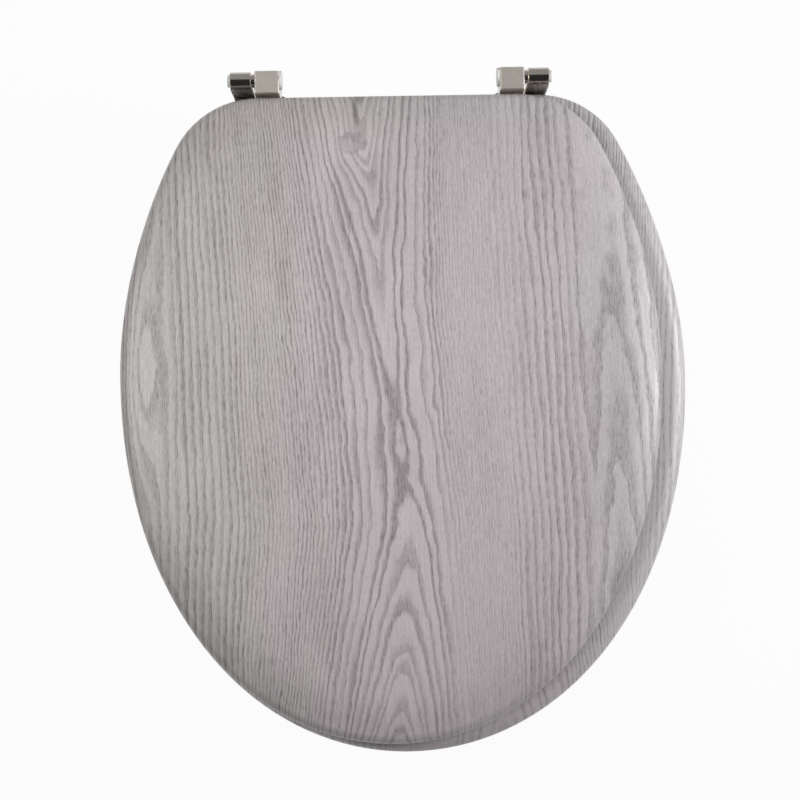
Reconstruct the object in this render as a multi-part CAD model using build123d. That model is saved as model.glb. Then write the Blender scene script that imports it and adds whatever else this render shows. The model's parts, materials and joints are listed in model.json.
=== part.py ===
from build123d import *
import math
import os

# Toilet seat with lid on a pair of plated hinges. Millimetres, +Z up, front towards -Y.
# The origin lies midway between the two fixing studs, on the top of the bowl.

# Seat ring
seat_width = 370.0
seat_length = 430.0
seat_thickness = 18.0
seat_front_reach = 244.0
seat_rear_flat = 183.0
seat_corner_radius = 60.0
seat_top_round = 9.0
seat_bottom_round = 4.0
seat_side_offset = 6.0
hole_width = 228.0
hole_length = 276.0
hole_front_land = 72.0
hole_front_reach = 146.0

# Lid board, with a broad soft slope round its top
lid_width = 349.0
lid_length = 417.0
lid_thickness = 17.0
lid_front_reach = 238.0
lid_rear_flat = 169.0
lid_corner_radius = 60.0
lid_slope_width = 21.0
lid_slope_drop = 5.5
lid_crown_round = 70.0
lid_shoulder_round = 8.0
lid_bottom_round = 4.0
lid_side_offset = -2.0

# Shape of the egg outlines
flank_angle = 27.0
flank_pull = 1 / 3
oval_pull_across = 0.54
oval_pull_along = 0.615

# Hinge axis, barrels, bushes and pins
bolt_spacing = 155.0
axis_above_lid_base = 7.0
barrel_radius = 5.7
barrel_length = 14.0
barrel_chamfer = 0.6
pin_radius = 2.5
pin_chamfer = 0.5
bush_radius = 3.4
seat_button_radius = 3.9
seat_button = 1.6
lid_button_radius = 6.1
lid_button = 1.8
button_round = 0.5

# Square heads of the lid leaves
head_width = 16.0
head_shift = 2.4
head_front = 10.2
head_back = 5.1
head_above_axis = 6.0
head_round = 0.9

# Hinge posts
eye_radius = 4.4
eye_thickness = 1.8
pillar_inset = 1.9
pillar_front = 3.0
pillar_back = 4.1
pillar_round = 1.5
foot_front = 5.3
foot_back = 8.0
foot_height = 3.5
foot_round = 3.5
foot_edge = 0.8

# Hinge leaves and their screws
seat_leaf = 3.0
lid_leaf = 2.5
limb_setback = 0.4
leaf_width = 24.0
leaf_reach = 46.0
leaf_corner = 6.0
leaf_taper = 14.0
leaf_bend = 2.0
screw_pitch = 16.0
screw_end_margin = 8.0
screw_radius = 1.75
screw_head_radius = 3.5
screw_head = 2.0
screw_bite = 10.0
screw_point = 3.0
screw_slot = 0.8

# Bumpers
seat_bumper_height = 12.0
seat_bumper_length = 32.0
seat_bumper_width = 15.0
seat_bumper_draft = 5.0
lid_bumper_height = 5.0
lid_bumper_radius = 8.0
bumper_round = 1.5
spigot_radius = 3.0
spigot_length = 7.0
front_bumper_angle = -45.0
rear_bumper_angle = 38.0

# Fixing to the bowl
gasket = 2.0
bowl_thickness = 20.0
stud_radius = 3.0
thread_radius = 2.75
stud_bite = 14.0
stud_tail = 30.0
stud_chamfer = 0.8
rubber_washer = 4.0
rubber_washer_radius = 8.5
rubber_round = 1.0
flat_washer = 1.5
flat_washer_radius = 8.0
nut_height = 9.0
nut_base_radius = 7.0
nut_tip_radius = 5.5
wing_span = 36.0
wing_drop = 15.0
wing_chord = 8.0
wing_thickness = 3.0
wing_round = 2.0

# Clearances
running_gap = 0.25
running_fit = 0.05
seat_fit = 0.02
hole_clearance = 0.3
seat_rear_clearance = 0.6
lid_head_gap = 1.1
head_sweep_clearance = 0.5
pin_end_gap = 0.3

# Heights that follow from the stack of boards and bumpers
seat_base = seat_bumper_height
seat_top = seat_base + seat_thickness
lid_base = seat_top + lid_bumper_height
lid_top = lid_base + lid_thickness
hinge_z = lid_base + axis_above_lid_base
head_bottom = lid_base - lid_leaf
head_top = hinge_z + head_above_axis
pillar_top = hinge_z - math.hypot(head_back, hinge_z - head_bottom) - head_sweep_clearance

# Heights of the hardware below the bowl's ledge
clamp_face = -bowl_thickness
washer_face = clamp_face - rubber_washer
nut_face = washer_face - flat_washer

# Rear edges of the boards, set by what stands behind them
seat_rear = -(barrel_radius + seat_rear_clearance)
lid_rear = -(head_front + lid_head_gap)

# Stations along the hinge axis on the right-hand side
post_x = bolt_spacing / 2
head_middle = post_x + head_shift
head_inner = head_middle - head_width / 2
head_outer = head_middle + head_width / 2
eye_start = head_outer + running_gap
eye_end = eye_start + eye_thickness
barrel_start = eye_end + running_gap
barrel_end = barrel_start + barrel_length
barrel_middle = (barrel_start + barrel_end) / 2

# Place of the hole, and the land that the bumpers stand on
hole_front = seat_rear - seat_length + hole_front_land
hole_middle = hole_front + hole_length / 2
side_land = (seat_width - hole_width) / 2

BASE = (Align.CENTER, Align.CENTER, Align.MIN)
LEVEL = 0.01


def block(x_range, y_range, z_range):
    """Rectangular block between pairs of limits."""
    sizes = [high - low for low, high in (x_range, y_range, z_range)]
    return Pos(x_range[0], y_range[0], z_range[0]) * Box(*sizes, align=Align.MIN)


def rod(start, end, radius):
    """Round bar on the hinge axis between two stations along X."""
    return Pos(start, 0, hinge_z) * Rot(0, 90, 0) * Cylinder(radius, end - start, align=BASE)


def peg(x, y, low, high, radius):
    """Upright round bar between two heights."""
    return Pos(x, y, low) * Cylinder(radius, high - low, align=BASE)


def edges_at(shape, height):
    """Edges of a shape that lie in one level plane."""
    return shape.edges().filter_by_position(Axis.Z, height - LEVEL, height + LEVEL)


def oval_quarter(half_width, reach):
    """Quarter of a slightly full oval, from its tip at the origin to its widest point."""
    return Bezier(
        (0, 0),
        (oval_pull_across * half_width, 0),
        (half_width, reach - oval_pull_along * reach),
        (half_width, reach),
    )


def both_sides(edges):
    """Closed face from the edges of its right half."""
    right = Curve() + edges
    left = mirror(right, about=Plane.YZ)
    return make_face([*right.edges(), *left.edges()]).face()


def board_outline(width, length, front_reach, rear_flat, corner_radius):
    """Egg-shaped board with a straight rear edge on y = 0 and its tip at y = -length."""
    widest = Vector(width / 2, front_reach - length)
    corner = Vector(rear_flat / 2, -corner_radius)
    flank = math.radians(flank_angle)
    joint = corner + Vector(math.cos(flank), math.sin(flank)) * corner_radius
    pull = (joint.Y - widest.Y) * flank_pull
    leaving = Vector(-math.sin(flank), math.cos(flank))
    front_edge = Pos(0, -length) * oval_quarter(width / 2, front_reach)
    flank_edge = Bezier(widest, widest + Vector(0, pull), joint - leaving * pull, joint)
    corner_edge = CenterArc(corner, corner_radius, flank_angle, 90 - flank_angle)
    rear_edge = Line((rear_flat / 2, 0), (0, 0))
    return both_sides([front_edge, flank_edge, corner_edge, rear_edge])


def hole_outline():
    """Egg-shaped hole with its front tip at the origin."""
    front_edge = oval_quarter(hole_width / 2, hole_front_reach)
    rear_edge = mirror(oval_quarter(hole_width / 2, hole_length - hole_front_reach), about=Plane.XZ)
    return both_sides([front_edge, Pos(0, hole_length) * rear_edge])


def leaf_screw_places(leaf_x):
    """Centres of the screws through the pads of a leaf and of its mirror image."""
    first = screw_end_margin - leaf_reach
    rows = [first, first + screw_pitch]
    return [(side * leaf_x, y) for side in (-1, 1) for y in rows]


def bumper_places(side_offset):
    """Name, centre and turn of each bumper, spaced round the middle of the ring."""
    places = []
    for end, angle in (("front", front_bumper_angle), ("rear", rear_bumper_angle)):
        x = (hole_width + side_land) / 2 * math.cos(math.radians(angle))
        y = hole_middle + (hole_length + side_land) / 2 * math.sin(math.radians(angle))
        for side, sign in (("left", -1), ("right", 1)):
            places.append((f"{end}_{side}", side_offset + sign * x, y, sign * (angle + 90)))
    return places


def drill_underside(board, base, side_offset, leaf_x):
    """Board with the holes for the leaf screws and the bumper spigots in its underside."""
    for x, y in leaf_screw_places(leaf_x):
        board -= peg(x, y, base, base + screw_bite + seat_fit, screw_radius + seat_fit)
    for _, x, y, _ in bumper_places(side_offset):
        board -= peg(x, y, base, base + spigot_length + seat_fit, spigot_radius + seat_fit)
    return board


def make_seat_ring():
    """Flat ring with well rounded upper edges."""
    outline = board_outline(seat_width, seat_length, seat_front_reach, seat_rear_flat, seat_corner_radius)
    board = extrude(Pos(seat_side_offset, seat_rear, seat_base) * outline, seat_thickness)
    hole = extrude(Pos(seat_side_offset, hole_front, seat_base) * hole_outline(), seat_thickness)
    ring = board - hole
    ring = fillet(edges_at(ring, seat_top), seat_top_round)
    ring = fillet(edges_at(ring, seat_base), seat_bottom_round)
    return drill_underside(ring, seat_base, seat_side_offset, barrel_middle)


def make_lid_board():
    """Solid board whose top falls away softly towards its edge."""
    outline = board_outline(lid_width, lid_length, lid_front_reach, lid_rear_flat, lid_corner_radius)
    lid = extrude(Pos(lid_side_offset, lid_rear, lid_base) * outline, lid_thickness)
    top = lid.faces().sort_by(Axis.Z)[-1]
    lid = chamfer(top.edges(), lid_slope_width, lid_slope_drop, reference=top)
    lid = fillet(edges_at(lid, lid_top), lid_crown_round)
    lid = fillet(edges_at(lid, lid_top - lid_slope_drop), lid_shoulder_round)
    lid = fillet(edges_at(lid, lid_base), lid_bottom_round)
    return drill_underside(lid, lid_base, lid_side_offset, head_middle)


def post_column(low, high, front, back, corner):
    """Upright part of a post or its gasket, from under the head out to the eye."""
    inner = head_inner + pillar_inset
    plan = RectangleRounded(eye_end - inner, front + back, corner)
    return extrude(Pos((inner + eye_end) / 2, (back - front) / 2, low) * plan, high - low)


def make_post():
    """Cast post: foot and pillar under the lid leaf's head, and a thin eye beside it."""
    pillar = post_column(gasket, hinge_z, pillar_front, pillar_back, pillar_round)
    pillar -= block((head_inner, eye_start), (-pillar_front, pillar_back), (pillar_top, hinge_z))
    foot = post_column(gasket, gasket + foot_height, foot_front, foot_back, foot_round)
    foot = fillet(edges_at(foot, gasket + foot_height), foot_edge)
    post = pillar + foot + rod(eye_start, eye_end, eye_radius)
    post -= rod(eye_start, eye_end, pin_radius + seat_fit)
    return post - peg(post_x, 0, gasket, gasket + stud_bite + seat_fit, thread_radius + seat_fit)


def make_pin():
    """Hinge pin, pressed into the post's eye and reaching out on both sides of it."""
    pin = rod(head_inner + pin_end_gap, barrel_end - pin_end_gap, pin_radius)
    return chamfer(pin.edges().filter_by(GeomType.CIRCLE), pin_chamfer)


def make_lid_bush():
    """Blind sleeve in the lid leaf's head, with a wide button on the head's inner face."""
    button = rod(head_inner - lid_button, head_inner, lid_button_radius)
    button = fillet(button.faces().sort_by(Axis.X)[0].edges(), button_round)
    sleeve = rod(head_inner, head_outer, bush_radius)
    return button + sleeve - rod(head_inner, head_outer, pin_radius + running_fit)


def make_seat_bush():
    """Blind sleeve in the seat leaf's barrel, with a button that closes the barrel's end."""
    button = rod(barrel_end, barrel_end + seat_button, seat_button_radius)
    button = fillet(button.faces().sort_by(Axis.X)[-1].edges(), button_round)
    sleeve = rod(barrel_start, barrel_end, bush_radius)
    return button + sleeve - rod(barrel_start, barrel_end, pin_radius + running_fit)


def leaf_pad(leaf_x, neck_width, rear, neck, board_base, thickness):
    """Drilled pad under a board, with rounded front corners, narrowing to a neck at the rear."""
    low = board_base - thickness
    shoulder = neck - leaf_taper
    half_neck = neck_width / 2
    half_pad = leaf_width / 2
    right = [(half_neck, rear), (half_neck, neck), (half_pad, shoulder), (half_pad, -leaf_reach)]
    left = [(-x, y) for x, y in reversed(right)]
    plan = make_face(Polyline(*right, *left, close=True))
    plan = fillet(plan.vertices().group_by(Axis.Y)[0], leaf_corner)
    pad = extrude(Pos(leaf_x, 0, low) * plan, thickness)
    for x, y in leaf_screw_places(leaf_x):
        pad -= screw_body(x, y, low, board_base, seat_fit)
    return pad


def screw_body(x, y, head_face, tip, growth):
    """Countersunk screw shape, made larger by the given growth for its hole."""
    head = Cone(screw_head_radius + growth, screw_radius + growth, screw_head, align=BASE)
    return Pos(x, y, head_face) * head + peg(x, y, head_face, tip, screw_radius + growth)


def make_seat_leaf():
    """Strap leaf: pad under the seat, limb up behind its rear edge, barrel round the pin."""
    low = seat_base - seat_leaf
    front = limb_setback - barrel_radius
    rear = front + seat_leaf
    leaf = leaf_pad(barrel_middle, barrel_length, rear, seat_rear, seat_base, seat_leaf)
    leaf += block((barrel_start, barrel_end), (front, rear), (low, hinge_z))
    leaf = fillet(edges_at(leaf, low).filter_by(Axis.X).sort_by(Axis.Y)[-1], leaf_bend)
    barrel = rod(barrel_start, barrel_end, barrel_radius)
    leaf += chamfer(barrel.edges().filter_by(GeomType.CIRCLE), barrel_chamfer)
    return leaf - rod(barrel_start, barrel_end, bush_radius + seat_fit)


def make_lid_leaf():
    """Cast leaf: square head round the pin, and a pad in the gap between the lid and the seat."""
    head = block((head_inner, head_outer), (-head_front, head_back), (head_bottom, head_top))
    head = fillet(head.edges(), head_round)
    neck_width = head_width - 2 * head_round
    leaf = head + leaf_pad(head_middle, neck_width, -head_front / 2, lid_rear, lid_base, lid_leaf)
    return leaf - rod(head_inner, head_outer, bush_radius + seat_fit)


def make_leaf_screws(board_base, thickness, leaf_x):
    """The four slotted screws that hold one board to its two leaves."""
    low = board_base - thickness
    tip = board_base + screw_bite
    screws = []
    for x, y in leaf_screw_places(leaf_x):
        screw = screw_body(x, y, low, tip, 0)
        screw = chamfer(edges_at(screw, tip), screw_point, screw_radius / 2)
        slot = Pos(x, y, low) * Box(2 * screw_head_radius, screw_slot, screw_head)
        screws.append(screw - slot)
    return Compound(children=screws)


def make_seat_bumper(x, y, turn):
    """Long rubber foot under the seat, with a spigot pressed into the board."""
    plan = SlotOverall(seat_bumper_length, seat_bumper_width)
    foot = extrude(plan, -seat_bumper_height, taper=seat_bumper_draft)
    foot = fillet(edges_at(foot, -seat_bumper_height), bumper_round)
    return Pos(x, y, seat_base) * Rot(0, 0, turn) * (foot + peg(0, 0, 0, spigot_length, spigot_radius))


def make_lid_bumper(x, y):
    """Round buffer under the lid, with a spigot pressed into the board."""
    buffer = peg(x, y, seat_top, lid_base, lid_bumper_radius)
    buffer = fillet(edges_at(buffer, seat_top), bumper_round)
    return buffer + peg(x, y, lid_base, lid_base + spigot_length, spigot_radius)


def make_gasket():
    """Rubber pad between the post's foot and the bowl."""
    pad = post_column(0, gasket, foot_front, foot_back, foot_round)
    return pad - peg(post_x, 0, 0, gasket, stud_radius + hole_clearance)


def make_stud():
    """Double-ended stud with a plain shank through the bowl's ledge."""
    tail = clamp_face - stud_tail
    stud = peg(post_x, 0, tail, gasket + stud_bite, thread_radius)
    stud = chamfer(stud.edges().filter_by(GeomType.CIRCLE), stud_chamfer)
    return stud + peg(post_x, 0, clamp_face, 0, stud_radius)


def make_rubber_washer():
    """Soft washer against the underside of the ledge."""
    disc = peg(post_x, 0, washer_face, clamp_face, rubber_washer_radius)
    disc = fillet(disc.edges().filter_by(GeomType.CIRCLE), rubber_round)
    return disc - peg(post_x, 0, washer_face, clamp_face, thread_radius + hole_clearance)


def make_flat_washer():
    """Steel washer between the nut and the soft washer."""
    disc = peg(post_x, 0, nut_face, washer_face, flat_washer_radius)
    return disc - peg(post_x, 0, nut_face, washer_face, thread_radius + hole_clearance)


def make_wing_nut():
    """Wing nut drawn up under the flat washer."""
    hub = Cone(nut_tip_radius, nut_base_radius, nut_height, align=BASE)
    half_span = wing_span / 2
    wing_points = [
        (nut_tip_radius / 2, -wing_round),
        (nut_base_radius, -wing_round),
        (half_span, wing_chord - wing_drop),
        (half_span - wing_chord / 2, -wing_drop),
        (nut_tip_radius / 2, wing_round - nut_height),
    ]
    wing_face = make_face(Polyline(*wing_points, close=True))
    wing_face = fillet(wing_face.vertices().sort_by(Axis.X)[-2:], wing_round)
    wing = extrude(Plane.XZ * wing_face, wing_thickness / 2, both=True)
    nut = Pos(0, 0, -nut_height) * hub + wing + mirror(wing, about=Plane.YZ)
    nut -= peg(0, 0, -nut_height, 0, thread_radius + seat_fit)
    return Pos(post_x, 0, nut_face) * nut


def make_parts():
    """Every piece by its name."""
    parts = {
        "seat_ring": make_seat_ring(),
        "lid_board": make_lid_board(),
        "seat_leaf_screws": make_leaf_screws(seat_base, seat_leaf, barrel_middle),
        "lid_leaf_screws": make_leaf_screws(lid_base, lid_leaf, head_middle),
    }
    paired = {
        "post": make_post(),
        "hinge_pin": make_pin(),
        "seat_leaf": make_seat_leaf(),
        "seat_bush": make_seat_bush(),
        "lid_leaf": make_lid_leaf(),
        "lid_bush": make_lid_bush(),
        "gasket": make_gasket(),
        "stud": make_stud(),
        "rubber_washer": make_rubber_washer(),
        "flat_washer": make_flat_washer(),
        "wing_nut": make_wing_nut(),
    }
    for name, piece in paired.items():
        parts[f"right_{name}"] = piece
        parts[f"left_{name}"] = mirror(piece, about=Plane.YZ)
    for place, x, y, turn in bumper_places(seat_side_offset):
        parts[f"seat_bumper_{place}"] = make_seat_bumper(x, y, turn)
    for place, x, y, _ in bumper_places(lid_side_offset):
        parts[f"lid_bumper_{place}"] = make_lid_bumper(x, y)
    return parts


os.makedirs("parts", exist_ok=True)
for name, part in make_parts().items():
    export_step(part, f"parts/{name}.step")
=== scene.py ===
import json
import math
from collections import namedtuple

import bpy
from mathutils import Euler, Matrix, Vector


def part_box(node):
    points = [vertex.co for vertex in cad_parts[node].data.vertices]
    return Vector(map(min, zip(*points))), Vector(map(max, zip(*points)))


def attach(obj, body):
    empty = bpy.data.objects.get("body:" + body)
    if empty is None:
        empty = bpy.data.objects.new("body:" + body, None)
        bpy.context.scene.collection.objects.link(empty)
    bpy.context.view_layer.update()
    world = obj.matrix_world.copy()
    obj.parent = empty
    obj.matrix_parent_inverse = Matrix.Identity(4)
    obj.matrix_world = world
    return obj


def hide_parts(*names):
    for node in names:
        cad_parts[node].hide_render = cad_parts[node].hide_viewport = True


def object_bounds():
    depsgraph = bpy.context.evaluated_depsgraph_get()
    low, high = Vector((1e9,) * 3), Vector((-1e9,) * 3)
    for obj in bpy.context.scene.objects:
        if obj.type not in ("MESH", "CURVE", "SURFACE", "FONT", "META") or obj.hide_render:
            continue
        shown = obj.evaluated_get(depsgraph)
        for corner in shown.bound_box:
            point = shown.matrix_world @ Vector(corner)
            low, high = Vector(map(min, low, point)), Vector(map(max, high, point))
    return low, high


# Looks of a grey wood-decor toilet seat, closed, seen from almost straight above.
# Lengths are metres, but the materials work in millimetres of the CAD frame.

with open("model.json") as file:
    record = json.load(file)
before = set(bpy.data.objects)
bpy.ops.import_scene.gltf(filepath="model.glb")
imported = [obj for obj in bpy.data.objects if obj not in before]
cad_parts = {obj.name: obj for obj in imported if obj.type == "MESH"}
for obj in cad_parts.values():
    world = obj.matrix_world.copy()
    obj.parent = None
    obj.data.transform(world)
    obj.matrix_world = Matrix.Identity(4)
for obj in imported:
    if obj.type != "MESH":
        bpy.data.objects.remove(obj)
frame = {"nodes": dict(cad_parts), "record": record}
cad_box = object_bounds()


def srgb(*levels):
    """Colour from the 0 to 255 levels that it has on screen."""
    linear = [(v / 255 / 12.92) if v < 11 else ((v / 255 + 0.055) / 1.055) ** 2.4 for v in levels]
    return (*linear, 1.0)


WHITE = (1.0, 1.0, 1.0, 1.0)
MILLIMETRES_PER_METRE = 1000.0
NOISE_MIDDLE = 0.5
NOISE_ROUGHNESS = 0.5

# Camera, taken from the perspective of the two boards and the hinges in the photograph
IMAGE_SIZE = 800
FOCAL_PIXELS = 1421
SENSOR_WIDTH = 36.0
CAMERA_PLACE = (0.0022, -0.281, 0.952)
CAMERA_TILT = math.radians(4.42)
CAMERA_ROLL = math.radians(-0.95)

# Floor, below the lowest reach of the opened lid
FLOOR_DROP = 0.03
FLOOR_SIZE = 40.0
FLOOR_COLOUR = (0.90, 0.90, 0.90, 1.0)
FLOOR_GLOW = 0.94

# Softboxes: name, place, size, power, and whether the metal mirrors it
SOFTBOX_TARGET = (0.0, -0.13, 0.05)
SOFTBOX_SPREAD = math.radians(75.0)
SOFTBOXES = (
    ("top_softbox", (-0.2, -0.1, 1.45), (0.7, 0.7), 0.9, False),
    ("left_softbox", (-0.75, -0.1, 0.98), (0.4, 0.7), 1.02, True),
    ("right_softbox", (0.95, -0.1, 0.6), (0.4, 0.8), 2.12, True),
)

# Room: paler behind the seat than in front of it, both as a fill light and as the metal mirrors it
PALE_SIDE = (0.0, 1.0, 0.0)
FILL_SPAN = (-0.6, 0.6)
FILL_LEVELS = (0.0, 0.14)
MIRRORED_SPAN = (0.0, 0.25)
MIRRORED_LEVELS = (0.04, 0.45)

# Growth rings, counted outward from a leaning heart line, and closing into arches on both sides of a waist
RING_PITCH = 6.5
HEART_START = -22.0
HEART_LEAN = -0.108
HEART_TURN = -290.0
HEART_RETURN = -0.175
HEART_ROUND = (2.0, 8.0)
ROUND_SPAN = (-190.0, -290.0)
LEAN_REACH = 90.0
WAIST = -207.0
ARCH_LENGTH = 82.0
ARCH_WIDTH = 32.0
ARCH_LIFT = 1.5

# Zones beside the heart: ragged arches, crowded fine rings, denser side rings and a stretch of broad ones
HEART_ZONE = (-36.0, 30.0)
HEART_SOFT = 12.0
HEART_SIDES = (-4.0, 4.0)
FINE_LEFT = (34.0, 106.0)
FINE_RIGHT = (28.0, 78.0)
FINE_RINGS = 14.0
SIDE_ZONE = (80.0, 170.0)
SIDE_RINGS = 4.0
FLAT_START = 124.0
FLAT_LENGTH = 68.0
FLAT_SHARE = -0.85

# Eyes: place, reach and height of hollows in the count of rings
EYES = (
    ((146.0, -400.0), (20.0, 260.0), -20.0),
    ((-163.0, -190.0), (12.0, 80.0), -18.0),
    ((-27.0, -45.0), (14.0, 18.0), -6.0),
)
# Waves: width and length of the lumps, size to each side, and seed
WAVES = (
    (60.0, 240.0, 5.0, 0.0),
    (16.0, 60.0, 2.0, 3.0),
    (5.0, 12.0, 1.2, 7.0),
)
HEART_WAVE = (22.0, 32.0, 3.5, 13.0)
UNEVEN_WAVE = (10.0, 900.0, 4.5, 2.0)
UNEVEN_DETAIL = 1.0

# Dark band of a ring, as shares of a turn; its width drifts in lumps of a width, a length and a seed
BAND_LUMPS = (25.0, 90.0, 51.0)
BAND_DRIFT = (0.35, 0.65)
BAND_WIDTHS = (0.4, 0.9)
BAND_FADE = (0.2, 1.0)
BAND_EDGE = (0.88, 1.0)
BAND_DEPTH = 0.4
BAND_DEPTH_SPREAD = 0.4

# Strength of the rings outside the arches and in them, and its loss where fibres take over
RING_STRENGTH = (0.9, 1.05)
ARCH_SOFT = 6.0
FIBROUS_ZONE = (31.0, 79.0)
FIBROUS_SOFT = 8.0
FIBROUS_LOSS = -0.5

# Knot: a dark ring round a paler core, in a pale halo, with a streak behind it
KNOT_PLACE = (-25.0, -45.0)
KNOT_REACH = (10.5, 8.0)
KNOT_WAVE = (4.5, 5.0, 0.42, 31.0)
KNOT_EDGE = (0.33, 0.6)
KNOT_RINGS = 0.3
CORE_PLACE = (-27.5, -47.0)
CORE_SPAN = (0.5, 0.95)
CORE_SHADES = (0.72, 0.38)
HALO_REACH = (21.0, 17.0)
HALO_HEIGHT = -0.2
TAIL_PLACE = (-22.5, -22.0)
TAIL_REACH = (1.9, 17.0)
TAIL_HEIGHT = 0.9

# Fibres, flecks, pores and a slow drift of tone
FIBRE_WAVE = (1.0, 30.0, 0.5, 0.0)
FIBRE_DETAIL = 3.0
FLECK_WAVE = (0.7, 3.0, 0.45, 61.0)
PORE_LUMPS = (0.6, 7.0, 11.0)
PORE_SPAN = (0.42, 0.68)
PORE_LEVELS = (0.3, 0.08)
DARK_RING = 0.8
DARK_RING_PORES = 0.4
DRIFT_WAVE = (40.0, 150.0, 0.2, 5.0)

# Film: its two tones, and cooler tints towards the sides and the rear; the darkening towards the rear is
# painted shade
WOOD_LIGHT = srgb(200, 192, 194)
WOOD_DARK = srgb(130, 122, 124)
TONE_BELOW = 0.6
TONE_ABOVE = 0.9
TINT_LEFT = (0.965, 1.0, 0.95, 1.0)
TINT_RIGHT = (0.955, 1.0, 0.985, 1.0)
TINT_SIDES = (-60.0, 60.0)
TINT_MIDDLE = 25.0
TINT_REACH = (80.0, 130.0)
TINT_WAVE = (30.0, 90.0, 60.0, 41.0)
TINT_REAR = (-50.0, -10.0)
# Painted shade: the span over which the film's colour darkens towards the rear of a board
REAR_PAINTED_SHADE = (-150.0, -30.0)
WOOD_ROUGHNESS = (0.34, 0.44)
WOOD_RELIEF = 0.1
WOOD_RELIEF_DEPTH = 0.0001

# The two boards: side -1 mirrors the grain, and rear is painted shade, how far the colour darkens towards the
# rear to stand in for dimmer light there
LID_FILM = {"side": 1.0, "shift": (0.0, 0.0), "contrast": 1.05, "middle": 0.4, "rear": 0.06}
# The seat's paler middle tone is partly its own tone and partly painted light, making up for light falling on
# its outer edge beside the lid
SEAT_FILM = {"side": -1.0, "shift": (70.0, 40.0), "contrast": 1.2, "middle": 0.75, "rear": 0.4}

# Finishes: sizes of the clouds and the fine marks, and what they do to the tone, the roughness and the relief
Finish = namedtuple("Finish", "metallic cloud marks shade roughness relief")
PLATED = Finish(
    metallic=1.0,
    cloud=(5.0, 5.0, 5.0),
    marks=(0.25, 1.2, 1.2),
    shade=0.94,
    roughness=(0.8, 1.25),
    relief=0.01,
)
MOULDED = Finish(
    metallic=0.0,
    cloud=(4.0, 4.0, 4.0),
    marks=(0.3, 0.3, 0.3),
    shade=0.88,
    roughness=(0.9, 1.1),
    relief=0.1,
)
CLOUD_DETAIL = 3.0
MARKS_DETAIL = 2.0
MARKS_DEPTH = 0.00005
FINISH_DRIFT = (0.3, 0.7)

# Materials: name, finish, colour and roughness for each slot, and for the square heads of the hinges
SLOT_MATERIALS = {
    "plated_zinc": ("polished_nickel", PLATED, srgb(190, 184, 176), 0.1),
    "zinc_steel": ("zinc_steel", PLATED, srgb(182, 183, 187), 0.3),
    "white_nylon": ("white_nylon", MOULDED, srgb(236, 236, 234), 0.4),
    "grey_rubber": ("grey_rubber", MOULDED, srgb(72, 72, 74), 0.7),
    "clear_rubber": ("clear_rubber", MOULDED, srgb(222, 222, 218), 0.35),
}
HEAD_MATERIAL = ("satin_nickel", PLATED, srgb(230, 223, 213), 0.36)

# Thread on the studs' lower ends, which are plain in the CAD; the rest is the CAD stud's own shape
THREAD_TOP = -0.020
THREAD_PITCH = 0.001
THREAD_DEPTH = 0.00055
THREAD_ROWS = 8
THREAD_SIDES = 32
THREAD_FADE = 0.0006
STUD_SHANK_TOP = 0.0
STUD_END_RADIUS = 0.00275
STUD_CHAMFER = 0.0008
STUD_SHARP_EDGE = math.radians(50.0)


def clear_startup():
    """Removes what a new Blender file holds beside the frame."""
    for name in ("Cube", "Light", "Camera"):
        thing = bpy.data.objects.get(name)
        if thing:
            bpy.data.objects.remove(thing)


def link(name, data):
    """Adds an object with the given data to the scene."""
    thing = bpy.data.objects.new(name, data)
    bpy.context.scene.collection.objects.link(thing)
    return thing


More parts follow.
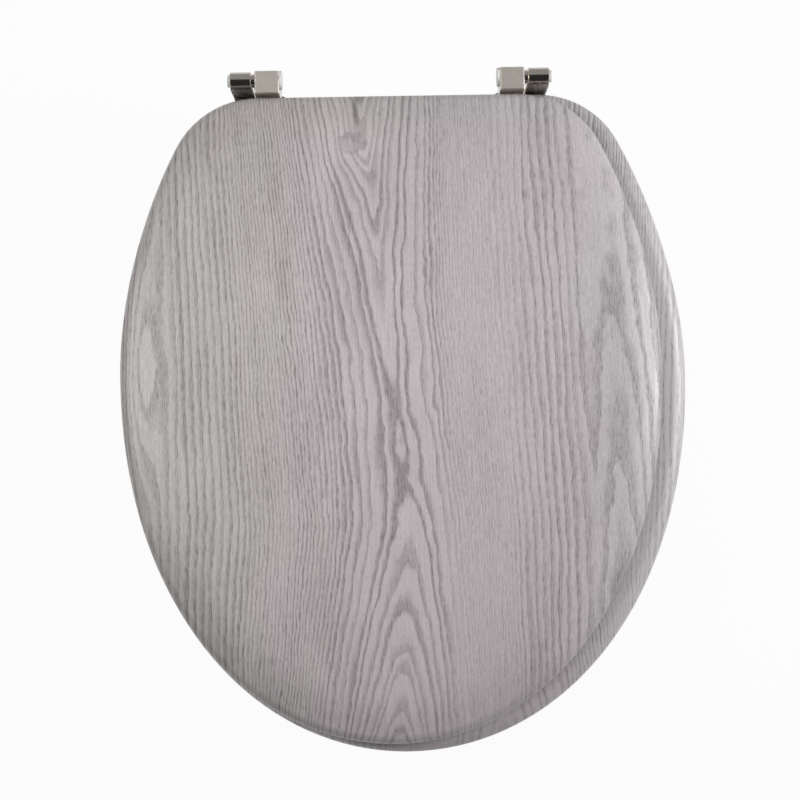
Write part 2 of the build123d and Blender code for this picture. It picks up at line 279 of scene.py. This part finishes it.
class Nodes:
    """Node tree of a material or the world, with short calls for the nodes used here."""

    def __init__(self, owner):
        owner.use_nodes = True
        self.owner = owner
        self.tree = owner.node_tree
        self.tree.nodes.clear()

    def plug(self, socket, value):
        """Links a socket, or sets an unlinked input."""
        if isinstance(value, bpy.types.NodeSocket):
            self.tree.links.new(value, socket)
        else:
            socket.default_value = value

    def add(self, kind, inputs=(), **settings):
        """New node with its settings, and its inputs by name or number."""
        node = self.tree.nodes.new(kind)
        for name, value in settings.items():
            setattr(node, name, value)
        for key, value in dict(inputs).items():
            self.plug(node.inputs[key], value)
        return node

    def math(self, operation, *values):
        """Result of a math node."""
        return self.add("ShaderNodeMath", enumerate(values), operation=operation).outputs[0]

    def vector(self, x, y, z):
        """Vector from three numbers."""
        return self.add("ShaderNodeCombineXYZ", {0: x, 1: y, 2: z}).outputs[0]

    def noise(self, vector, detail=2.0):
        """Noise from 0 to 1, one lump to a unit of the vector."""
        inputs = {"Vector": vector, "Scale": 1.0, "Detail": detail, "Roughness": NOISE_ROUGHNESS}
        return self.add("ShaderNodeTexNoise", inputs, noise_dimensions="3D").outputs[0]

    def flat_lumps(self, x, y, lumps, detail=2.0):
        """Noise on the board, from the width, length and seed of its lumps."""
        width, length, seed = lumps
        across = self.math("DIVIDE", x, width)
        along = self.math("DIVIDE", y, length)
        return self.noise(self.vector(across, along, seed), detail)

    def wave(self, x, y, shape, detail=2.0):
        """Noise about zero, from the width and length of its lumps, its size to each side and its seed."""
        width, length, size, seed = shape
        noise = self.flat_lumps(x, y, (width, length, seed), detail)
        return self.math("MULTIPLY", self.math("SUBTRACT", noise, NOISE_MIDDLE), 2 * size)

    def lumps(self, place, sizes, detail):
        """Noise in lumps of the given size along each axis."""
        scaled = [self.math("DIVIDE", value, size) for value, size in zip(place, sizes)]
        return self.noise(self.vector(*scaled), detail)

    def span(self, value, low, high, to_low=0.0, to_high=1.0, smooth=True):
        """Value taken from one span to another, and held at its ends."""
        kind = "SMOOTHSTEP" if smooth else "LINEAR"
        inputs = {0: value, 1: low, 2: high, 3: to_low, 4: to_high}
        return self.add("ShaderNodeMapRange", inputs, interpolation_type=kind).outputs[0]

    def blend(self, factor, first, second, mode="MIX"):
        """Mix of two colours, which are the node's inputs 6 and 7."""
        inputs = {0: factor, 6: first, 7: second}
        return self.add("ShaderNodeMix", inputs, data_type="RGBA", blend_type=mode).outputs[2]

    def bump(self, height, strength, depth):
        """Normal of a surface with fine relief."""
        inputs = {"Strength": strength, "Distance": depth, "Height": height}
        return self.add("ShaderNodeBump", inputs).outputs[0]

    def millimetres(self):
        """X, Y and Z of the surface in millimetres of the CAD frame."""
        place = self.add("ShaderNodeTexCoord").outputs["Object"]
        inputs = {0: place, "Scale": MILLIMETRES_PER_METRE}
        scaled = self.add("ShaderNodeVectorMath", inputs, operation="SCALE")
        return self.add("ShaderNodeSeparateXYZ", {0: scaled.outputs[0]}).outputs

    def finish(self, **inputs):
        """Principled surface with the given inputs, written with _ for spaces."""
        named = {key.replace("_", " "): value for key, value in inputs.items()}
        shader = self.add("ShaderNodeBsdfPrincipled", named)
        self.add("ShaderNodeOutputMaterial", {"Surface": shader.outputs[0]})
        return self.owner


def hill(nodes, x, y, place, reach, height):
    """Smooth hill of the given height, or a hollow where that is below zero."""
    across = nodes.math("DIVIDE", nodes.math("SUBTRACT", x, place[0]), reach[0])
    along = nodes.math("DIVIDE", nodes.math("SUBTRACT", y, place[1]), reach[1])
    square = nodes.math("ADD", nodes.math("POWER", across, 2.0), nodes.math("POWER", along, 2.0))
    falloff = nodes.math("EXPONENT", nodes.math("MULTIPLY", square, -1.0))
    return nodes.math("MULTIPLY", falloff, height)


def round_off(nodes, value, radius):
    """Distance from zero, with a rounded turn at zero."""
    square = nodes.math("MULTIPLY", radius, radius)
    return nodes.math("SQRT", nodes.math("MULTIPLY_ADD", value, value, square))


def band(nodes, value, span, soft):
    """One inside a span and nothing outside it, with soft ends."""
    rising = nodes.span(value, span[0] - soft, span[0] + soft)
    falling = nodes.span(value, span[1] - soft, span[1] + soft, 1.0, 0.0)
    return nodes.math("MULTIPLY", rising, falling)


def aside_of_heart(nodes, x, y):
    """Way to the right of the heart line, which the grain follows less and less further out."""
    lean = nodes.math("MULTIPLY_ADD", y, HEART_LEAN, HEART_START)
    past_turn = nodes.math("MAXIMUM", nodes.math("SUBTRACT", HEART_TURN, y), 0.0)
    heart = nodes.math("MULTIPLY_ADD", past_turn, HEART_RETURN, lean)
    out = nodes.math("DIVIDE", x, LEAN_REACH)
    followed = nodes.math("DIVIDE", heart, nodes.math("MULTIPLY_ADD", out, out, 1.0))
    return nodes.math("SUBTRACT", x, followed)


def ring_field(nodes, x, y, aside):
    """Count of growth rings outward from the heart line."""
    out = round_off(nodes, aside, nodes.span(y, *ROUND_SPAN, *HEART_ROUND))
    past = nodes.math("MAXIMUM", nodes.math("SUBTRACT", aside, FLAT_START), 0.0)
    past = nodes.math("MINIMUM", past, FLAT_LENGTH)
    out = nodes.math("MULTIPLY_ADD", past, FLAT_SHARE, out)

    # Arches: rings go down with the square of the way from the waist, less so further out
    way = nodes.math("DIVIDE", nodes.math("SUBTRACT", y, WAIST), ARCH_LENGTH)
    lift = nodes.math("SUBTRACT", ARCH_LIFT, nodes.math("POWER", nodes.math("ABSOLUTE", way), 2.0))
    width = nodes.math("DIVIDE", aside, ARCH_WIDTH)
    share = nodes.math("DIVIDE", RING_PITCH, nodes.math("MULTIPLY_ADD", width, width, 1.0))
    out = nodes.math("MULTIPLY_ADD", lift, share, out)

    for place, reach, height in EYES:
        out = nodes.math("ADD", out, hill(nodes, x, y, place, reach, height))
    for wave in WAVES:
        out = nodes.math("ADD", out, nodes.wave(x, y, wave))

    # Ragged arches of uneven widths, and crowded rings beside them
    near = band(nodes, aside, HEART_ZONE, HEART_SOFT)
    out = nodes.math("MULTIPLY_ADD", nodes.wave(x, y, HEART_WAVE), near, out)
    out = nodes.math("MULTIPLY_ADD", nodes.wave(out, y, UNEVEN_WAVE, UNEVEN_DETAIL), near, out)
    right = nodes.span(aside, *HEART_SIDES)
    start = nodes.span(right, 0.0, 1.0, FINE_LEFT[0], FINE_RIGHT[0])
    end = nodes.span(right, 0.0, 1.0, FINE_LEFT[1], FINE_RIGHT[1])
    rings = nodes.math("DIVIDE", out, RING_PITCH)
    rings = nodes.math("ADD", rings, nodes.span(out, start, end, 0.0, FINE_RINGS))
    return nodes.math("ADD", rings, nodes.span(out, *SIDE_ZONE, 0.0, SIDE_RINGS, smooth=False))


def ring_darkness(nodes, x, y, rings):
    """Rings with a sharp inner edge and a dark band that fades outward, no two alike."""
    turn = nodes.math("FRACT", rings)
    width = nodes.span(nodes.flat_lumps(x, y, BAND_LUMPS), *BAND_DRIFT, *BAND_WIDTHS)
    fading = nodes.span(nodes.math("DIVIDE", turn, width), *BAND_FADE, 1.0, 0.0)
    edge = nodes.span(turn, *BAND_EDGE)
    whole = nodes.math("FLOOR", rings)
    own = nodes.add("ShaderNodeTexWhiteNoise", {"W": whole}, noise_dimensions="1D").outputs[0]
    depth = nodes.math("MULTIPLY_ADD", own, BAND_DEPTH_SPREAD, BAND_DEPTH)
    return nodes.math("MULTIPLY", nodes.math("MAXIMUM", fading, edge), depth)


def knot_darkness(nodes, x, y):
    """Share of the knot in a place, and the darkness of the knot, its halo and its tail."""
    ragged = nodes.wave(x, y, KNOT_WAVE)
    outline = nodes.math("ADD", hill(nodes, x, y, KNOT_PLACE, KNOT_REACH, 1.0), ragged)
    core = nodes.math("ADD", hill(nodes, x, y, CORE_PLACE, KNOT_REACH, 1.0), ragged)
    inside = nodes.span(outline, *KNOT_EDGE)
    knot = nodes.math("MULTIPLY", inside, nodes.span(core, *CORE_SPAN, *CORE_SHADES))
    halo = hill(nodes, x, y, KNOT_PLACE, HALO_REACH, HALO_HEIGHT)
    tail = hill(nodes, x, y, TAIL_PLACE, TAIL_REACH, TAIL_HEIGHT)
    return inside, nodes.math("ADD", nodes.math("MAXIMUM", tail, knot), halo)


def grain_darkness(nodes, x, y):
    """Darkness of the rings, the knot, the fibres and the pores together."""
    aside = aside_of_heart(nodes, x, y)
    ring = ring_darkness(nodes, x, y, ring_field(nodes, x, y, aside))

    # The rings are bold in the arches, and lost in the knot and among the fibres on the right
    arches = band(nodes, aside, HEART_ZONE, ARCH_SOFT)
    fibrous = band(nodes, x, FIBROUS_ZONE, FIBROUS_SOFT)
    strength = nodes.span(arches, 0.0, 1.0, *RING_STRENGTH)
    ring = nodes.math("MULTIPLY", ring, nodes.math("MULTIPLY_ADD", fibrous, FIBROUS_LOSS, strength))
    inside, knot = knot_darkness(nodes, x, y)
    ring = nodes.math("MULTIPLY", ring, nodes.span(inside, 0.0, 1.0, 1.0, KNOT_RINGS))

    # Pores gather in the dark rings, and there are few of them in the arches
    fibre = nodes.wave(x, y, FIBRE_WAVE, FIBRE_DETAIL)
    fibre = nodes.math("ADD", fibre, nodes.wave(x, y, FLECK_WAVE))
    pore = nodes.span(nodes.flat_lumps(x, y, PORE_LUMPS), *PORE_SPAN)
    spread = nodes.span(arches, 0.0, 1.0, *PORE_LEVELS)
    pores = nodes.math("ADD", spread, nodes.span(ring, 0.0, DARK_RING, 0.0, DARK_RING_PORES))
    drift = nodes.wave(x, y, DRIFT_WAVE)
    dark = nodes.math("ADD", ring, nodes.math("ADD", drift, fibre))
    dark = nodes.math("MULTIPLY_ADD", pore, pores, dark)
    return nodes.math("ADD", dark, knot)


def cooler_film(nodes, colour, board, grain):
    """Colour with the film's cooler tints at the sides and the rear of the board."""
    out = nodes.math("ABSOLUTE", nodes.math("SUBTRACT", board[0], TINT_MIDDLE))
    out = nodes.math("ADD", out, nodes.wave(*grain, TINT_WAVE))
    tint = nodes.blend(nodes.span(board[0], *TINT_SIDES), TINT_LEFT, TINT_RIGHT)
    tinted = nodes.blend(1.0, colour, tint, "MULTIPLY")
    cool = nodes.math("MAXIMUM", nodes.span(out, *TINT_REACH), nodes.span(board[1], *TINT_REAR))
    return nodes.blend(cool, colour, tinted)


def wood_material(name, side, shift, contrast, middle, rear):
    """Grey ash decor film with a satin skin."""
    nodes = Nodes(bpy.data.materials.new(name))
    board_x, board_y, _ = nodes.millimetres()
    x = nodes.math("MULTIPLY_ADD", board_x, side, shift[0])
    y = nodes.math("ADD", board_y, shift[1])
    dark = grain_darkness(nodes, x, y)
    # Painted shade: the colour darkens towards the rear of the board, standing in for dimmer light there
    dark = nodes.math("ADD", dark, nodes.span(board_y, *REAR_PAINTED_SHADE, 0.0, rear))
    palest = middle - TONE_BELOW / contrast
    darkest = middle + TONE_ABOVE / contrast
    colour = nodes.blend(nodes.span(dark, palest, darkest, smooth=False), WOOD_LIGHT, WOOD_DARK)
    colour = cooler_film(nodes, colour, (board_x, board_y), (x, y))
    gloss = nodes.span(dark, 0.0, 1.0, *WOOD_ROUGHNESS)
    bump = nodes.bump(nodes.math("MULTIPLY", dark, -1.0), WOOD_RELIEF, WOOD_RELIEF_DEPTH)
    return nodes.finish(Base_Color=colour, Roughness=gloss, Normal=bump)


def finished_material(name, finish, colour, roughness):
    """Plated metal, nylon or rubber: a slightly cloudy tone, and fine marks in its polish or skin."""
    nodes = Nodes(bpy.data.materials.new(name))
    place = nodes.millimetres()
    cloud = nodes.lumps(place, finish.cloud, CLOUD_DETAIL)
    marks = nodes.lumps(place, finish.marks, MARKS_DETAIL)
    shade = tuple(finish.shade * level for level in colour[:3]) + (1.0,)
    tone = nodes.blend(nodes.span(cloud, *FINISH_DRIFT), shade, colour)
    smoothest, roughest = (roughness * share for share in finish.roughness)
    gloss = nodes.span(marks, *FINISH_DRIFT, smoothest, roughest)
    bump = nodes.bump(marks, finish.relief, MARKS_DEPTH)
    return nodes.finish(Base_Color=tone, Metallic=finish.metallic, Roughness=gloss, Normal=bump)


def dress_nodes():
    """Gives every CAD node its own material or that of its slot, and returns the slots' materials."""
    materials = {slot: finished_material(*values) for slot, values in SLOT_MATERIALS.items()}
    head = finished_material(*HEAD_MATERIAL)
    own = {
        "lid_board": wood_material("lid_wood", **LID_FILM),
        "seat_ring": wood_material("seat_wood", **SEAT_FILM),
        "left_lid_leaf": head,
        "right_lid_leaf": head,
    }
    for part in frame["record"]["subparts"]:
        node = part["node"]
        mesh = frame["nodes"][node].data
        mesh.materials.clear()
        mesh.materials.append(own.get(node) or materials[part["material_slot"]])
    return materials


def thread_radius(height, angle, tail, crest):
    """Radius of a stud's right-hand rolled thread, which fades out below the shank."""
    turn = math.tau * height / THREAD_PITCH - angle
    depth = THREAD_DEPTH * min(1.0, (THREAD_TOP - height) / THREAD_FADE)
    cut = crest - depth * (0.5 - 0.5 * math.cos(turn))
    return min(cut, crest - STUD_CHAMFER + height - tail)


def stud_rows(tail, top, crest, angles):
    """Heights up a stud, each with the radius at every angle: thread, shank and upper end."""
    count = round((THREAD_TOP - tail) / THREAD_PITCH * THREAD_ROWS)
    rows = []
    for step in range(count + 1):
        height = tail + (THREAD_TOP - tail) * step / count
        rows.append((height, [thread_radius(height, angle, tail, crest) for angle in angles]))
    for height, radius in (
        (STUD_SHANK_TOP, crest),
        (STUD_SHANK_TOP, STUD_END_RADIUS),
        (top - STUD_CHAMFER, STUD_END_RADIUS),
        (top, STUD_END_RADIUS - STUD_CHAMFER),
    ):
        rows.append((height, [radius] * len(angles)))
    return rows


def turned_mesh(name, centre, rows, angles):
    """Closed mesh through rows of radii about an upright axis."""
    points = []
    for height, radii in rows:
        for radius, angle in zip(radii, angles):
            x = centre.x + radius * math.cos(angle)
            y = centre.y + radius * math.sin(angle)
            points.append((x, y, height))
    sides = len(angles)
    last = len(points) - sides
    faces = []
    for lower in range(0, last, sides):
        upper = lower + sides
        for step in range(sides):
            after = (step + 1) % sides
            faces.append((lower + step, lower + after, upper + after, upper + step))
    faces.append(tuple(reversed(range(sides))))
    faces.append(tuple(range(last, last + sides)))
    mesh = bpy.data.meshes.new(name)
    mesh.from_pydata(points, [], faces)
    return mesh


def add_stud(side, material):
    """Fixing stud with its thread, in the place of the plain CAD stud."""
    low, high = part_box(f"{side}_stud")
    crest = (high.x - low.x) / 2
    angles = [math.tau * step / THREAD_SIDES for step in range(THREAD_SIDES)]
    rows = stud_rows(low.z, high.z, crest, angles)
    mesh = turned_mesh(f"{side}_threaded_stud", (low + high) / 2, rows, angles)
    mesh.shade_smooth()
    mesh.set_sharp_from_angle(angle=STUD_SHARP_EDGE)
    mesh.materials.append(material)
    stud = link(mesh.name, mesh)
    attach(stud, "mounting")
    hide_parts(f"{side}_stud")


def add_camera():
    """Camera at the photograph's viewing angle."""
    camera = bpy.data.cameras.new("camera")
    camera.sensor_width = SENSOR_WIDTH
    camera.lens = FOCAL_PIXELS / IMAGE_SIZE * SENSOR_WIDTH
    thing = link("camera", camera)
    thing.location = CAMERA_PLACE
    thing.rotation_euler = Euler((CAMERA_TILT, 0.0, CAMERA_ROLL))
    bpy.context.scene.camera = thing


def white_to_the_eye(nodes, shader, glow):
    """Shader that also glows white, but only for what the camera sees, straight or in a surface."""
    rays = nodes.add("ShaderNodeLightPath").outputs
    seen = nodes.math("MAXIMUM", rays["Is Camera Ray"], rays["Is Glossy Ray"])
    seen = nodes.math("MAXIMUM", seen, rays["Is Transmission Ray"])
    white = nodes.add("ShaderNodeEmission", {"Color": WHITE, "Strength": 1.0})
    share = nodes.math("MULTIPLY", seen, glow)
    return nodes.add("ShaderNodeMixShader", {0: share, 1: shader, 2: white.outputs[0]}).outputs[0]


def add_floor():
    """White floor below the fixing studs."""
    height = cad_box[0].z - FLOOR_DROP
    half = FLOOR_SIZE / 2
    corners = [(x, y, height) for x, y in ((-half, -half), (half, -half), (half, half), (-half, half))]
    mesh = bpy.data.meshes.new("floor")
    mesh.from_pydata(corners, [], [(0, 1, 2, 3)])
    nodes = Nodes(bpy.data.materials.new("floor"))
    paint = nodes.add("ShaderNodeBsdfDiffuse", {"Color": FLOOR_COLOUR})
    surface = white_to_the_eye(nodes, paint.outputs[0], FLOOR_GLOW)
    nodes.add("ShaderNodeOutputMaterial", {"Surface": surface})
    mesh.materials.append(nodes.owner)
    link("floor", mesh)


def add_room():
    """World that fills the light from the rear, white to the camera and shaded for reflections."""
    world = bpy.data.worlds.new("room")
    nodes = Nodes(world)
    way = nodes.add("ShaderNodeTexCoord").outputs["Generated"]
    turned = nodes.add("ShaderNodeVectorMath", {0: way, 1: PALE_SIDE}, operation="DOT_PRODUCT")
    fill = nodes.span(turned.outputs["Value"], *FILL_SPAN, *FILL_LEVELS)
    mirrored = nodes.span(turned.outputs["Value"], *MIRRORED_SPAN, *MIRRORED_LEVELS)
    rays = nodes.add("ShaderNodeLightPath").outputs
    change = nodes.math("SUBTRACT", mirrored, fill)
    level = nodes.math("MULTIPLY_ADD", rays["Is Glossy Ray"], change, fill)
    for seen in (rays["Is Camera Ray"], rays["Is Transmission Ray"]):
        level = nodes.math("MAXIMUM", level, seen)
    sky = nodes.add("ShaderNodeBackground", {"Color": WHITE, "Strength": level})
    nodes.add("ShaderNodeOutputWorld", {"Surface": sky.outputs[0]})
    bpy.context.scene.world = world


def add_softbox(name, place, size, power, mirrored):
    """Rectangular softbox facing the seat."""
    lamp = bpy.data.lights.new(name, "AREA")
    lamp.shape = "RECTANGLE"
    lamp.size, lamp.size_y = size
    lamp.energy = power
    lamp.spread = SOFTBOX_SPREAD
    thing = link(name, lamp)
    thing.location = place
    thing.rotation_mode = "QUATERNION"
    thing.rotation_quaternion = (Vector(SOFTBOX_TARGET) - Vector(place)).to_track_quat("-Z", "Y")
    thing.visible_glossy = mirrored


clear_startup()
slot_materials = dress_nodes()
for stud_side in ("left", "right"):
    add_stud(stud_side, slot_materials["zinc_steel"])
add_camera()
add_floor()
add_room()
for softbox in SOFTBOXES:
    add_softbox(*softbox)
bpy.context.scene.view_settings.view_transform = "Standard"
